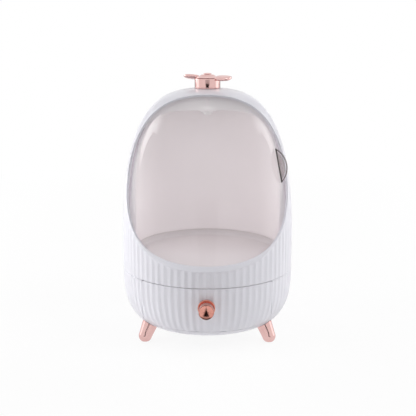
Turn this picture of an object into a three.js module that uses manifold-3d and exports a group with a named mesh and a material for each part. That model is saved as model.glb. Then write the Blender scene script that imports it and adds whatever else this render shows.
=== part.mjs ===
import * as THREE from 'three';
import { mergeVertices } from 'three/addons/utils/BufferGeometryUtils.js';
import Module from 'manifold-3d';

// A dustproof makeup organizer: a domed body on four legs, a clear cover that turns behind
// the shell, and a drawer in the bowl. Millimetres, +Z up, front towards -Y. The origin is
// the centre of the bowl's flat underside, on the axis that the cover turns about.
// An azimuth is measured from the front towards +X, in degrees.

const wasm = await Module();
wasm.setup();

// Clearances shared by all fits.
const seatGap = 0.3;
const screwPlay = 0.4;
const overrun = 6;
const mergeTolerance = 1e-4;

// Body: one skin of revolution, parted at the seam into the bowl and the shell.
const bodyRadius = 120;
const bodyHeight = 330.5;
const wall = 3;
const seamHeight = 78.5;
const straightBelowSeam = 3.5;
const straightAboveSeam = 28;
const bowlSpread = 50.8;
const bowlFullness = 2.57;
const domeFullness = 2.54;
const domeShoulder = 3.1;
const bowlTop = seamHeight - straightBelowSeam;
const domeBase = seamHeight + straightAboveSeam;

// Flutes: shallow upright scallops that fade out near the underside and up the dome.
const fluteCount = 76;
const fluteDepth = 1;
const fluteStart = 4;
const fluteFullFrom = 16;
const fluteFullTo = 150;
const fluteEnd = 235;

// Faceting of the turned surfaces.
const plainSegments = 40;
const hubSegments = 24;
const smallSegments = 16;
const screwSegments = 8;
const nutSides = 6;
const bowlSteps = 5;
const domeSteps = 7;
const ballSteps = 4;
const roundingSteps = 3;

// Narrow ends of the screws' and the bolt's heads, as shares of the head's radius.
const screwCrownShare = 0.6;
const boltCrownShare = 0.7;

// Opening in the shell: a side-view curve swept straight across, with its waist at the back.
const openingSetback = 28;
const openingUpperRadius = 240;
const openingLowerRadius = 134.6;
const lipRise = 30.3;
const lipSlope = 18.5;

// Legs: tapered pegs, splayed outwards, with rounded feet cut flat on the floor.
const legHeight = 18.5;
const legInset = 26;
const legSplay = 25;
const legTopRadius = 11.2;
const footRadius = 9.4;
const footLift = 7.2;
const legAzimuths = [59, 121, -121, -59];
const legScrewShank = 1.6;
const legScrewHead = 3.5;
const legScrewHeadHeight = 2;
const legScrewBite = 13;
const legPadRadius = 5;
const legPadRise = 1;

// Drawer: a fluted front panel cut from the bowl's own skin, screwed to a tray.
const frontInset = 31.3;
const frontSideGap = 0.5;
const frontTopGap = 0.8;
const legScrewClearance = 0.8;
const trayLift = 1.5;
const trayWall = 2;
const traySideStep = 10.7;
const trayHeight = 60;
const trayBackInset = 58;
const trayCornerRadius = 30;
const drawerScrewAzimuths = [22, -22];
const drawerScrewHeight = 45;
const drawerScrewShank = 1.5;
const drawerScrewHead = 5;
const drawerScrewHeadHeight = 1.8;
const drawerScrewBite = 1;
const drawerBossRadius = 3.2;
const drawerPadMargin = 1;
const drawerPadRise = 1.1;

// Runners and side guides moulded into the bowl under and beside the tray.
const runnerInset = 28;
const runnerWidth = 5;
const runnerSetback = 3;
const guideThickness = 3;
const guideHeight = 28;
const guideSetback = 7.4;

// Drawer knob and its collar, on a level axis through the drawer front.
const knobHeight = 52.5;
const collarRadius = 11.75;
const collarThickness = 4;
const knobRadius = 10.25;
const knobNeckRadius = 7;
const knobNeckLength = 4;
const knobHeadLength = 11;
const knobRounding = 3;
const knobDish = 0.8;
const knobScrewShank = 2;
const knobScrewHead = 4;
const knobScrewHeadHeight = 2.2;
const knobScrewBite = 11;
const knobPadMargin = 1.5;
const knobPadRise = 0.9;

// Posts and screws that clamp the bowl, the shell and the chamber floor together.
const postAzimuths = [95, 145, -145, -95];
const postInset = 19;
const postRadius = 5.5;
const bossRadius = 5;
const webThickness = 4;
const shellBossHeight = 6.6;
const bodyScrewShank = 1.7;
const bodyScrewHead = 3.5;
const bodyScrewHeadHeight = 3;
const bodyScrewSeat = 14.5;
const counterboreMargin = 0.7;

// Chamber floor: a plate with a low front rim and a raised rear rim that carries the liner.
const floorRise = 15;
const floorThickness = 2.5;
const floorGap = 0.6;
const channelWidth = 4.1;
const rimWidth = 4;
const frontRimHeight = 3;
const rearRimHeight = 9;
const rearLipHeight = 3;
const rimFillet = 4.5;
const rimInset = 0.5;
const floorBlindDepth = 8;

// Rear liner: the chamber's inner wall, a half dome with a round ear at the pivot. A brow round
// its front edge closes the gap to the clear cover.
const linerInset = 18;
const linerWall = 2.5;
const linerDrop = 31;
const linerShoulderBase = 171.5;
const linerFullness = 2.3;
const linerShoulder = 4.5;
const earRadius = 14;
const browThickness = 2.5;

// Clear cover: a sector of a thinner dome that runs just inside the shell.
const coverRunGap = 1.5;
const coverWall = 2;
const coverHalfAngle = 80;
const coverEyeRadius = 16;
const coverInset = wall + coverRunGap;
const browInset = coverInset + coverWall + coverRunGap;

// Pull on the cover: a clear disc segment standing out in a plane through the axis, just in
// front of the opening's waist.
const pullEdgeGap = 15.8;
const pullDrop = 6.5;
const pullDiscRadius = 28;
const pullProjection = 12.8;
const pullThickness = 3;
const pullPegRadius = 1.2;
const pullPegSpread = 12;

// Pivot stack on the axis.
const boltRadius = 3;
const boltHeadRadius = 6;
const boltHeadHeight = 4;
const boltPlay = 0.4;
const washerRadius = 9;
const washerThickness = 1.2;
const bushRadius = 13;
const bushNeckRadius = 8;
const nutRadius = 5.8;
const nutHeight = 4.5;
const boltTail = 2;

// Top hub, propeller and its cap.
const hubRadius = 17.8;
const hubHeight = 13.8;
const hubChamfer = 0.8;
const hubSeatMargin = 2;
const propellerRadius = 16.5;
const propellerRim = 1.1;
const propellerHeight = 4.5;
const propellerCrown = 8;
const bladeTip = 36;
const bladeRoot = 11;
const bladeHalfWidth = 9;
const bladeHalfThickness = 2.6;
const bladeDrop = 0.2;
const bladePitch = 15;
const propellerYaw = -27;
const capRadius = 6;
const capHeight = 2;
const capShares = [[0.8, 0.6], [0.4, 0.92]];
const stemGap = 1.4;

const degree = Math.PI / 180;
const quarterTurn = Math.PI / 2;
const baseRadius = bodyRadius - bowlSpread;
const legReach = bodyRadius - legInset;
const frontHalfWidth = bodyRadius - frontInset;
const floorUnderside = seamHeight + floorRise;
const floorTop = floorUnderside + floorThickness;
const floorRadius = bodyRadius - wall - floorGap;
const postReach = bodyRadius - postInset;
const linerRadius = bodyRadius - linerInset;
const linerTop = bodyHeight - linerDrop;
const hubSeatRadius = hubRadius + hubSeatMargin;

const materials = {
  whitePlastic: new THREE.MeshStandardMaterial({ color: 0xf1f0f4, roughness: 0.28 }),
  linerPlastic: new THREE.MeshStandardMaterial({ color: 0xe9e2e4, roughness: 0.4 }),
  clearPlastic: new THREE.MeshStandardMaterial({
    color: 0xf4f5f8,
    roughness: 0.06,
    transparent: true,
    opacity: 0.3,
  }),
  roseGold: new THREE.MeshStandardMaterial({ color: 0xe3b2ab, roughness: 0.16, metalness: 1 }),
  copper: new THREE.MeshStandardMaterial({ color: 0xd98f7b, roughness: 0.14, metalness: 1 }),
  steel: new THREE.MeshStandardMaterial({ color: 0xb9bcc0, roughness: 0.3, metalness: 1 }),
};

const organizer = new THREE.Group();

function addMesh(name, geometry, material, azimuth = 0) {
  const mesh = new THREE.Mesh(geometry, material);
  mesh.name = name;
  mesh.rotation.z = azimuth * degree;
  organizer.add(mesh);
  return mesh;
}

// A closed three.js geometry as a solid, with its shared corners merged.
function toSolid(geometry) {
  const bare = geometry.clone();
  bare.deleteAttribute('normal');
  bare.deleteAttribute('uv');
  const merged = mergeVertices(bare, mergeTolerance);
  const corners = merged.index.array;
  const triangles = [];
  for (let i = 0; i < corners.length; i += 3) {
    const [a, b, c] = corners.slice(i, i + 3);
    if (a !== b && b !== c && c !== a) triangles.push(a, b, c);
  }
  return new wasm.Manifold(new wasm.Mesh({
    numProp: 3,
    vertProperties: new Float32Array(merged.attributes.position.array),
    triVerts: new Uint32Array(triangles),
  }));
}

function toGeometry(solid) {
  const mesh = solid.getMesh();
  const geometry = new THREE.BufferGeometry();
  geometry.setAttribute('position', new THREE.BufferAttribute(mesh.vertProperties, 3));
  geometry.setIndex(new THREE.BufferAttribute(mesh.triVerts, 1));
  geometry.computeVertexNormals();
  return geometry;
}

// A turned geometry about +Z from an outline of [radius, height] points.
function turnedGeometry(outline, segments) {
  const points = outline.map(([radius, height]) => new THREE.Vector2(radius, height));
  return new THREE.LatheGeometry(points, segments).rotateX(quarterTurn);
}

function turned(outline, segments = plainSegments) {
  return toSolid(turnedGeometry(outline, segments));
}

function block([x0, x1], [y0, y1], [z0, z1], azimuth = 0) {
  const geometry = new THREE.BoxGeometry(x1 - x0, y1 - y0, z1 - z0);
  geometry.translate((x0 + x1) / 2, (y0 + y1) / 2, (z0 + z1) / 2);
  return toSolid(geometry.rotateZ(azimuth * degree));
}

// A point at a radius and height, at an azimuth from the front.
function polar(radius, azimuth, height) {
  const angle = azimuth * degree;
  return new THREE.Vector3(radius * Math.sin(angle), -radius * Math.cos(angle), height);
}

// The angles of a small rounding's points, from zero to a quarter turn.
function quarterAngles() {
  const angles = [];
  for (let i = 0; i <= roundingSteps; i += 1) angles.push((i / roundingSteps) * quarterTurn);
  return angles;
}

function rodGeometry(from, to, radius, segments) {
  const along = new THREE.Vector3().subVectors(to, from);
  const geometry = new THREE.CylinderGeometry(radius, radius, along.length(), segments);
  const upright = new THREE.Vector3(0, 1, 0);
  const turn = new THREE.Quaternion().setFromUnitVectors(upright, along.clone().normalize());
  geometry.applyQuaternion(turn);
  return geometry.translate(...new THREE.Vector3().addVectors(from, to).multiplyScalar(0.5));
}

function rod(from, to, radius, segments = screwSegments) {
  return toSolid(rodGeometry(from, to, radius, segments));
}

// An upright rod at an azimuth, and a level rod that points at the axis.
function uprightRod(reach, azimuth, low, high, radius, segments = screwSegments) {
  return rod(polar(reach, azimuth, low), polar(reach, azimuth, high), radius, segments);
}

function levelRod(inner, outer, azimuth, height, radius, segments = screwSegments) {
  return rod(polar(inner, azimuth, height), polar(outer, azimuth, height), radius, segments);
}

// A panhead screw with its head's seat at the origin and its shank pointing down.
function screwGeometry(shankRadius, shankLength, headRadius, headHeight) {
  const crown = headRadius * screwCrownShare;
  return turnedGeometry([
    [0, -shankLength],
    [shankRadius, -shankLength],
    [shankRadius, 0],
    [headRadius, 0],
    [headRadius, headHeight / 2],
    [crown, headHeight],
    [0, headHeight],
  ], screwSegments);
}

// Quarter of a superellipse dome from its full radius up to a flat seat on the axis,
// moved inwards along its normal.
function domeCurve({ radius, base, top, fullness, shoulder, seat, inset }) {
  const rise = top - base;
  const points = [];
  for (let i = 0; i < domeSteps; i += 1) {
    const angle = (i / domeSteps) * quarterTurn;
    const across = Math.cos(angle) ** (2 / shoulder);
    const up = Math.sin(angle) ** (2 / fullness);
    const normal = new THREE.Vector2(
      (shoulder * across ** (shoulder - 1)) / radius,
      (fullness * up ** (fullness - 1)) / rise,
    ).normalize();
    points.push([radius * across - inset * normal.x, base + rise * up - inset * normal.y]);
  }
  return [...points, [seat, top - inset], [0, top - inset]];
}

// The whole body's outline from the underside to the top, moved inwards by an inset.
function bodyOutline(inset) {
  const spread = bodyRadius - baseRadius;
  const points = [[0, inset]];
  for (let i = 0; i <= bowlSteps; i += 1) {
    const angle = (i / bowlSteps) * quarterTurn;
    const across = Math.sin(angle) ** (2 / bowlFullness);
    const down = Math.abs(Math.cos(angle)) ** (2 / bowlFullness);
    const normal = new THREE.Vector2(
      across ** (bowlFullness - 1) / spread,
      -(down ** (bowlFullness - 1)) / bowlTop,
    ).normalize();
    points.push([
      baseRadius + spread * across - inset * normal.x,
      bowlTop * (1 - down) - inset * normal.y,
    ]);
  }
  return points.concat(domeCurve({
    radius: bodyRadius,
    base: domeBase,
    top: bodyHeight,
    fullness: domeFullness,
    shoulder: domeShoulder,
    seat: hubSeatRadius,
    inset,
  }));
}

// The radius of an outline at a height.
function radiusAt(outline, height) {
  for (let i = 2; i < outline.length; i += 1) {
    const [r0, z0] = outline[i - 1];
    const [r1, z1] = outline[i];
    if (z0 <= height && height <= z1) return r0 + ((r1 - r0) * (height - z0)) / (z1 - z0);
  }
  return 0;
}

// The height of the bowl's outline at a radius outside its flat base.
function heightAt(outline, radius) {
  for (let i = 2; i < outline.length; i += 1) {
    const [r0, z0] = outline[i - 1];
    const [r1, z1] = outline[i];
    if (r0 <= radius && radius <= r1) return z0 + ((z1 - z0) * (radius - r0)) / (r1 - r0);
  }
  return 0;
}

function fluteStrength(height) {
  const rising = THREE.MathUtils.smoothstep(height, fluteStart, fluteFullFrom);
  const falling = THREE.MathUtils.smoothstep(height, fluteFullTo, fluteEnd);
  return rising * (1 - falling);
}

// The body's outer solid, with the flutes pressed into its turned surface. Each flute has a
// ridge and a valley corner, and where the flutes have faded out the valley's corner joins
// the ridge beside it.
function flutedBody() {
  const geometry = turnedGeometry(bodyOutline(0), 2 * fluteCount);
  const position = geometry.attributes.position;
  const halfFlute = Math.PI / fluteCount;
  for (let i = 0; i < position.count; i += 1) {
    const [x, y, z] = [position.getX(i), position.getY(i), position.getZ(i)];
    const corner = Math.round(Math.atan2(x, -y) / halfFlute);
    if (corner % 2 === 0) continue;
    const strength = fluteStrength(z);
    const angle = (strength > 0 ? corner : corner + 1) * halfFlute;
    const radius = Math.hypot(x, y) - fluteDepth * strength;
    position.setXY(i, radius * Math.sin(angle), -radius * Math.cos(angle));
  }
  return toSolid(geometry);
}

const outerOutline = bodyOutline(0);
const innerOutline = bodyOutline(wall);
const skin = flutedBody().subtract(turned(innerOutline));
const farSide = bodyRadius + overrun;
const everywhere = [-farSide, farSide];
const upperReach = bodyHeight + overrun;
const lowerReach = -legHeight - overrun;

// The leg's axis, in the plane of its azimuth: from the foot's centre up to the bowl.
const legTop = new THREE.Vector3(0, -legReach, heightAt(outerOutline, legReach));
const legUp = new THREE.Vector3(0, Math.sin(legSplay * degree), Math.cos(legSplay * degree));
const footCentreHeight = footLift - legHeight;
const legLength = (legTop.z - footCentreHeight) / legUp.z;
const footCentre = legTop.clone().addScaledVector(legUp, -legLength);
const legPadTop = wall / Math.cos(legSplay * degree) + legPadRise;
const alongLeg = (distance) => legTop.clone().addScaledVector(legUp, distance);
const legRod = (low, high, radius, azimuth) => toSolid(
  rodGeometry(alongLeg(low), alongLeg(high), radius, screwSegments).rotateZ(azimuth * degree),
);

// Levels and widths that the drawer, its mouth and its runners share. The tray's underside
// clears the leg screws' tilted heads, and the mouth's sill lies below it.
const legScrewSeat = legPadTop + seatGap;
const legScrewTop = alongLeg(legScrewSeat + legScrewHeadHeight).z + legScrewHead * legUp.y;
const trayUnderside = legScrewTop + legScrewClearance;
const mouthSill = trayUnderside - trayLift;
const trayTop = trayUnderside + trayHeight;
const trayHalfWidth = frontHalfWidth - traySideStep;
const trayBack = bodyRadius - trayBackInset;
const runnerOffset = trayHalfWidth - runnerInset;
const mouthHalfWidth = frontHalfWidth + frontSideGap;
const sillRadius = radiusAt(innerOutline, mouthSill);
const mouthBack = overrun - Math.sqrt(Math.max(0, sillRadius ** 2 - mouthHalfWidth ** 2));

function makeBowl() {
  const rim = seamHeight - seatGap / 2;
  const seat = seamHeight - bodyScrewSeat;
  const runnerTop = trayUnderside - seatGap;
  const runnerFront = runnerSetback - Math.sqrt(Math.max(0, sillRadius ** 2 - runnerOffset ** 2));
  const guideInner = trayHalfWidth + seatGap;
  const frontPadReach = legReach * Math.cos(legAzimuths[0] * degree) - legPadRadius;
  const guideFront = frontPadReach - guideSetback;
  const straightEnd = trayBack - trayCornerRadius;
  let ribs = legRod(wall / 2, legPadTop, legPadRadius, legAzimuths[0]);
  for (const azimuth of legAzimuths.slice(1)) {
    ribs = ribs.add(legRod(wall / 2, legPadTop, legPadRadius, azimuth));
  }
  for (const side of [-1, 1]) {
    const runner = [side * runnerOffset - runnerWidth / 2, side * runnerOffset + runnerWidth / 2];
    const guide = [side * guideInner, side * (guideInner + guideThickness)].sort((a, b) => a - b);
    ribs = ribs.add(block(runner, [runnerFront, trayBack], [wall / 2, runnerTop]));
    ribs = ribs.add(block(guide, [-guideFront, straightEnd], [wall / 2, guideHeight]));
  }
  for (const azimuth of postAzimuths) {
    const web = [-webThickness / 2, webThickness / 2];
    ribs = ribs.add(uprightRod(postReach, azimuth, wall / 2, rim, postRadius));
    ribs = ribs.add(block(web, [-farSide, -postReach], [wall / 2, rim], azimuth));
  }
  const mouth = [-mouthHalfWidth, mouthHalfWidth];
  let bowl = skin.subtract(block(everywhere, everywhere, [rim, upperReach]));
  bowl = bowl.subtract(block(mouth, [-farSide, mouthBack], [mouthSill, upperReach]));
  bowl = bowl.add(ribs.intersect(turned(bodyOutline(wall / 2))));
  for (const azimuth of postAzimuths) {
    const counterbore = bodyScrewHead + counterboreMargin;
    bowl = bowl.subtract(uprightRod(postReach, azimuth, lowerReach, seat, counterbore));
    const through = bodyScrewShank + screwPlay;
    bowl = bowl.subtract(uprightRod(postReach, azimuth, lowerReach, upperReach, through));
  }
  for (const azimuth of legAzimuths) {
    bowl = bowl.subtract(legRod(-overrun, legPadTop + overrun, legScrewShank + screwPlay, azimuth));
  }
  return bowl;
}

// The opening in side view: a straight lip, which rises at its slope from the body's front,
// turns into the lower arc, which runs up to the waist.
const lipTurn = quarterTurn - lipSlope * degree;
const waistSetback = -openingSetback;
const lowerCentre = waistSetback - openingLowerRadius;
const lipEnd = lowerCentre + openingLowerRadius * Math.cos(lipTurn);
const lipEndHeight = seamHeight + lipRise + (lipEnd + bodyRadius) * Math.tan(lipSlope * degree);
const waistHeight = lipEndHeight + openingLowerRadius * Math.sin(lipTurn);

// The prism that opens the shell, swept along X.
function openingPrism() {
  const front = Math.min(-farSide, lipEnd - overrun);
  const lipStart = lipEndHeight - (lipEnd - front) * Math.tan(lipSlope * degree);
  const upperCentre = waistSetback - openingUpperRadius;
  const topAngle = Math.asin((upperReach - waistHeight) / openingUpperRadius);
  const outline = new THREE.Shape();
  outline.moveTo(front, lipStart);
  outline.lineTo(lipEnd, lipEndHeight);
  outline.absarc(lowerCentre, waistHeight, openingLowerRadius, -lipTurn, 0, false);
  outline.absarc(upperCentre, waistHeight, openingUpperRadius, 0, topAngle, false);
  outline.lineTo(front, upperReach);
  const swept = new THREE.ExtrudeGeometry(outline, {
    depth: 2 * farSide,
    bevelEnabled: false,
    curveSegments: domeSteps,
  });
  const sideways = new THREE.Matrix4().makeBasis(
    new THREE.Vector3(0, 1, 0),
    new THREE.Vector3(0, 0, 1),
    new THREE.Vector3(1, 0, 0),
  );
  return toSolid(swept.translate(0, 0, -farSide).applyMatrix4(sideways));
}

function makeShell() {
  const foot = seamHeight + seatGap / 2;
  const bossTop = foot + shellBossHeight;
  let shell = skin.subtract(block(everywhere, everywhere, [-overrun, foot]));
  shell = shell.subtract(openingPrism());
  for (const azimuth of postAzimuths) {
    const web = [-webThickness / 2, webThickness / 2];
    const reach = [wall / 2 - bodyRadius, -postReach];
    shell = shell.add(uprightRod(postReach, azimuth, foot, bossTop, bossRadius));
    shell = shell.add(block(web, reach, [foot, bossTop], azimuth));
    const through = bodyScrewShank + screwPlay;
    shell = shell.subtract(uprightRod(postReach, azimuth, lowerReach, upperReach / 2, through));
  }
  const boreBottom = bodyHeight - wall - overrun;
  return shell.subtract(uprightRod(0, 0, boreBottom, upperReach, boltRadius + boltPlay));
}

// The rear rim carries the liner's edge, and its lip stands behind the liner.
const rimInner = linerRadius - rimInset;
const lipInner = linerRadius + linerWall + seatGap;
const channelInner = floorRadius - channelWidth;
const rearRimTop = floorTop + rearRimHeight;
const floorBossBottom = seamHeight + seatGap / 2 + shellBossHeight + seatGap;

function makeChamberFloor() {
  const frontRimTop = floorTop + frontRimHeight;
  let floor = turned([
    [0, floorUnderside],
    [floorRadius, floorUnderside],
    [floorRadius, floorTop],
    [channelInner, floorTop],
    [channelInner, frontRimTop],
    [channelInner - rimWidth, frontRimTop],
    [channelInner - rimWidth, floorTop],
    [0, floorTop],
  ]);
  const fillet = quarterAngles().map((angle) => [
    rimInner - rimFillet + rimFillet * Math.sin(angle),
    floorTop + rimFillet * (1 - Math.cos(angle)),
  ]);
  const rearRim = turned([
    [rimInner - rimFillet, floorUnderside + floorThickness / 2],
    [channelInner, floorUnderside + floorThickness / 2],
    [channelInner, rearRimTop + rearLipHeight],
    [lipInner, rearRimTop + rearLipHeight],
    [lipInner, rearRimTop],
    [rimInner, rearRimTop],
    ...fillet.reverse(),
    [rimInner - rimFillet, floorUnderside + floorThickness / 2],
  ]);
  floor = floor.add(rearRim.intersect(block(everywhere, [0, farSide], [0, upperReach])));
  for (const azimuth of postAzimuths) {
    const middle = floorUnderside + floorThickness / 2;
    floor = floor.add(uprightRod(postReach, azimuth, floorBossBottom, middle, bossRadius));
    const blind = bodyScrewShank + seatGap;
    const blindTop = floorBossBottom + floorBlindDepth;
    floor = floor.subtract(uprightRod(postReach, azimuth, lowerReach, blindTop, blind));
  }
  return floor;
}

function linerOutline(outset) {
  const dome = domeCurve({
    radius: linerRadius,
    base: linerShoulderBase,
    top: linerTop,
    fullness: linerFullness,
    shoulder: linerShoulder,
    seat: earRadius,
    inset: -outset,
  });
  return [[0, 0], [linerRadius + outset, 0], ...dome];
}

function makeRearLiner() {
  const above = [rearRimTop + seatGap, upperReach];
  const dome = turned(linerOutline(linerWall)).subtract(turned(linerOutline(0)));
  const ear = dome.intersect(uprightRod(0, 0, linerTop / 2, upperReach, earRadius, smallSegments));
  const half = dome.intersect(block(everywhere, [0, farSide], above));
  const browBottom = rearRimTop + rearLipHeight + seatGap;
  const browPlate = block(everywhere, [0, browThickness], [browBottom, upperReach]);
  const browRing = turned(bodyOutline(browInset)).subtract(turned(linerOutline(linerWall / 2)));
  const bushSpace = bushRadius + seatGap;
  const brow = browRing.intersect(browPlate).subtract(
    uprightRod(0, 0, linerTop + linerWall, upperReach, bushSpace, smallSegments),
  );
  const liner = half.add(ear).add(brow);
  return liner.subtract(uprightRod(0, 0, 0, upperReach, boltRadius + boltPlay));
}

// The pull's place: in front of the opening's edge and a little below its waist.
const pullHeight = waistHeight - pullDrop;
const pullReach = radiusAt(bodyOutline(coverInset), pullHeight);
const pullAzimuth = Math.acos((openingSetback + pullEdgeGap) / pullReach) / degree;

// The pull's middle on the cover, with the directions out of the cover and up along it.
function pullFrame() {
  const outline = bodyOutline(coverInset);
  const low = radiusAt(outline, pullHeight - pullPegSpread);
  const high = radiusAt(outline, pullHeight + pullPegSpread);
  const middle = new THREE.Vector3(0, -pullReach, pullHeight);
  const up = new THREE.Vector3(0, low - high, 2 * pullPegSpread).normalize();
  const out = new THREE.Vector3(0, -up.z, up.y);
  return { middle, up, out };
}

function pullPeg(side, radius, depth, height) {
  const { middle, up, out } = pullFrame();
  const root = middle.clone().addScaledVector(up, side * pullPegSpread);
  const inner = root.clone().addScaledVector(out, -depth);
  const outer = root.clone().addScaledVector(out, height);
  return rodGeometry(inner, outer, radius, screwSegments).rotateZ(pullAzimuth * degree);
}

function makeClearCover() {
  const pie = new THREE.Shape();
  const middle = -quarterTurn;
  const half = coverHalfAngle * degree;
  pie.moveTo(0, 0);
  pie.lineTo(farSide * Math.cos(middle - half), farSide * Math.sin(middle - half));
  pie.lineTo(0, -2 * farSide);
  pie.lineTo(farSide * Math.cos(middle + half), farSide * Math.sin(middle + half));
  const bottom = floorTop + seatGap;
  const sector = new THREE.ExtrudeGeometry(pie, { depth: upperReach, bevelEnabled: false });
  const dome = turned(bodyOutline(coverInset)).subtract(turned(bodyOutline(coverInset + coverWall)));
  const eye = dome.intersect(
    uprightRod(0, 0, bodyHeight / 2, upperReach, coverEyeRadius, smallSegments),
  );
  let cover = dome.intersect(toSolid(sector.translate(0, 0, bottom))).add(eye);
  cover = cover.subtract(uprightRod(0, 0, 0, upperReach, bushNeckRadius + seatGap, smallSegments));
  for (const side of [-1, 1]) {
    const hole = pullPeg(side, pullPegRadius + seatGap, overrun, overrun);
    cover = cover.subtract(toSolid(hole));
  }
  return cover;
}

function makeCoverPull() {
  const { middle, out } = pullFrame();
  const centre = middle.clone().addScaledVector(out, pullProjection - pullDiscRadius);
  const side = new THREE.Vector3(pullThickness / 2, 0, 0);
  const disc = rodGeometry(
    centre.clone().sub(side),
    centre.clone().add(side),
    pullDiscRadius,
    plainSegments,
  );
  let pull = toSolid(disc.rotateZ(pullAzimuth * degree));
  pull = pull.subtract(turned(bodyOutline(coverInset - seatGap)));
  for (const peg of [-1, 1]) {
    pull = pull.add(toSolid(pullPeg(peg, pullPegRadius, coverWall, pullProjection / 2)));
  }
  return pull;
}

// A turned ring about the axis between two levels.
function ringGeometry(inner, outer, low, high, segments = smallSegments) {
  return turnedGeometry([
    [inner, low],
    [outer, low],
    [outer, high],
    [inner, high],
    [inner, low],
  ], segments);
}

const hubBottom = bodyHeight + seatGap;
const hubTop = hubBottom + hubHeight;
const nutTop = hubBottom + nutHeight;
const boltTip = nutTop + boltTail;

function addPivot() {
  const shellUnderside = bodyHeight - wall;
  const coverUnderside = bodyHeight - coverInset - coverWall;
  const collarTop = coverUnderside - seatGap;
  const bore = boltRadius + boltPlay;
  const bush = turnedGeometry([
    [bore, linerTop + linerWall + seatGap],
    [bushRadius, linerTop + linerWall + seatGap],
    [bushRadius, collarTop],
    [bushNeckRadius, collarTop],
    [bushNeckRadius, shellUnderside - seatGap],
    [bore, shellUnderside - seatGap],
    [bore, linerTop + linerWall + seatGap],
  ], smallSegments);
  const washerTop = linerTop - seatGap;
  const washerBottom = washerTop - washerThickness;
  const headTop = washerBottom - seatGap;
  const bolt = turnedGeometry([
    [0, headTop - boltHeadHeight],
    [boltHeadRadius * boltCrownShare, headTop - boltHeadHeight],
    [boltHeadRadius, headTop - boltHeadHeight / 2],
    [boltHeadRadius, headTop],
    [boltRadius, headTop],
    [boltRadius, boltTip],
    [0, boltTip],
  ], smallSegments);
  addMesh('pivot_bush', bush, materials.whitePlastic);
  addMesh('pivot_washer', ringGeometry(bore, washerRadius, washerBottom, washerTop), materials.steel);
  addMesh('pivot_bolt', bolt, materials.steel);
  const nut = turned([
    [0, hubBottom],
    [nutRadius, hubBottom],
    [nutRadius, nutTop],
    [0, nutTop],
  ], nutSides);
  const thread = uprightRod(0, 0, bodyHeight, upperReach, boltRadius + seatGap, smallSegments);
  addMesh('pivot_nut', toGeometry(nut.subtract(thread)), materials.steel);
}

function addTopHub() {
  const bore = boltRadius + boltPlay;
  const pocketRadius = nutRadius + seatGap;
  const pocketTop = hubBottom + nutHeight + seatGap;
  const hub = turnedGeometry([
    [pocketRadius, hubBottom],
    [hubRadius, hubBottom],
    [hubRadius, hubTop - hubChamfer],
    [hubRadius - hubChamfer, hubTop],
    [bore, hubTop],
    [bore, pocketTop],
    [pocketRadius, pocketTop],
    [pocketRadius, hubBottom],
  ], hubSegments);
  addMesh('top_hub', hub, materials.roseGold);
}

function addPropeller() {
  const bottom = hubTop + seatGap;
  const bore = boltRadius + boltPlay;
  const top = bottom + propellerHeight;
  let propeller = turned([
    [0, bottom],
    [propellerRadius, bottom],
    [propellerRadius, bottom + propellerRim],
    [propellerCrown, top],
    [0, top],
  ], hubSegments);
  const bladeMiddle = (bladeTip + bladeRoot) / 2;
  for (const side of [-1, 1]) {
    const blade = new THREE.SphereGeometry(1, smallSegments, screwSegments);
    blade.scale(bladeTip - bladeMiddle, bladeHalfWidth, bladeHalfThickness);
    blade.rotateX(side * bladePitch * degree);
    blade.translate(side * bladeMiddle, 0, bottom + propellerRim / 2 - bladeDrop);
    propeller = propeller.add(toSolid(blade));
  }
  const below = uprightRod(0, 0, hubBottom, bottom, hubRadius + seatGap, hubSegments);
  const eye = uprightRod(0, 0, hubBottom, top + overrun, bore, smallSegments);
  const turnedBlades = toGeometry(propeller.subtract(below).subtract(eye));
  addMesh('propeller', turnedBlades, materials.roseGold, propellerYaw);
  const capBottom = top + seatGap;
  const stemBottom = boltTip + stemGap;
  const cap = turnedGeometry([
    [0, stemBottom],
    [boltRadius, stemBottom],
    [boltRadius, capBottom],
    [capRadius, capBottom],
    ...capShares.map(([across, up]) => [capRadius * across, capBottom + capHeight * up]),
    [0, capBottom + capHeight],
  ], smallSegments);
  addMesh('propeller_cap', cap, materials.roseGold);
}

// Faces on the tray's front wall that the drawer's screw heads seat on.
const trayFrontInset = wall + seatGap;
const trayInnerOutline = bodyOutline(trayFrontInset + trayWall);
const knobPadFace = radiusAt(trayInnerOutline, knobHeight - knobScrewHead) - knobPadRise;
const drawerPadLow = drawerScrewHeight - drawerScrewHead;
const drawerPadFace = radiusAt(trayInnerOutline, drawerPadLow) - drawerPadRise;
const drawerPadRadius = drawerScrewHead + drawerPadMargin;
const knobPadRadius = knobScrewHead + knobPadMargin;
const skinInnerAtScrew = radiusAt(innerOutline, drawerScrewHeight);
const knobWall = radiusAt(outerOutline, knobHeight);

function makeDrawerFront() {
  const bottom = mouthSill + frontSideGap;
  const top = seamHeight - frontTopGap;
  const width = [-frontHalfWidth, frontHalfWidth];
  let panel = skin.intersect(block(width, [-farSide, mouthBack], [bottom, top]));
  const through = knobScrewShank + screwPlay;
  panel = panel.subtract(levelRod(0, farSide, 0, knobHeight, through));
  const bossFace = drawerPadFace + seatGap;
  const bossRoot = skinInnerAtScrew + drawerScrewBite;
  for (const azimuth of drawerScrewAzimuths) {
    const at = [azimuth, drawerScrewHeight];
    panel = panel.add(levelRod(bossFace, bossRoot, ...at, drawerBossRadius));
    panel = panel.subtract(levelRod(0, bossRoot, ...at, drawerScrewShank + seatGap));
  }
  return panel;
}

// The tray's plan: straight sides, a rear with round corners, open towards the front.
function trayPlan(inset) {
  const side = trayHalfWidth - inset;
  const back = trayBack - inset;
  const corner = trayCornerRadius - inset;
  const plan = new THREE.Shape();
  plan.moveTo(-side, -farSide);
  plan.lineTo(side, -farSide);
  plan.absarc(side - corner, back - corner, corner, 0, quarterTurn, false);
  plan.absarc(corner - side, back - corner, corner, quarterTurn, Math.PI, false);
  return plan;
}

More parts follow.
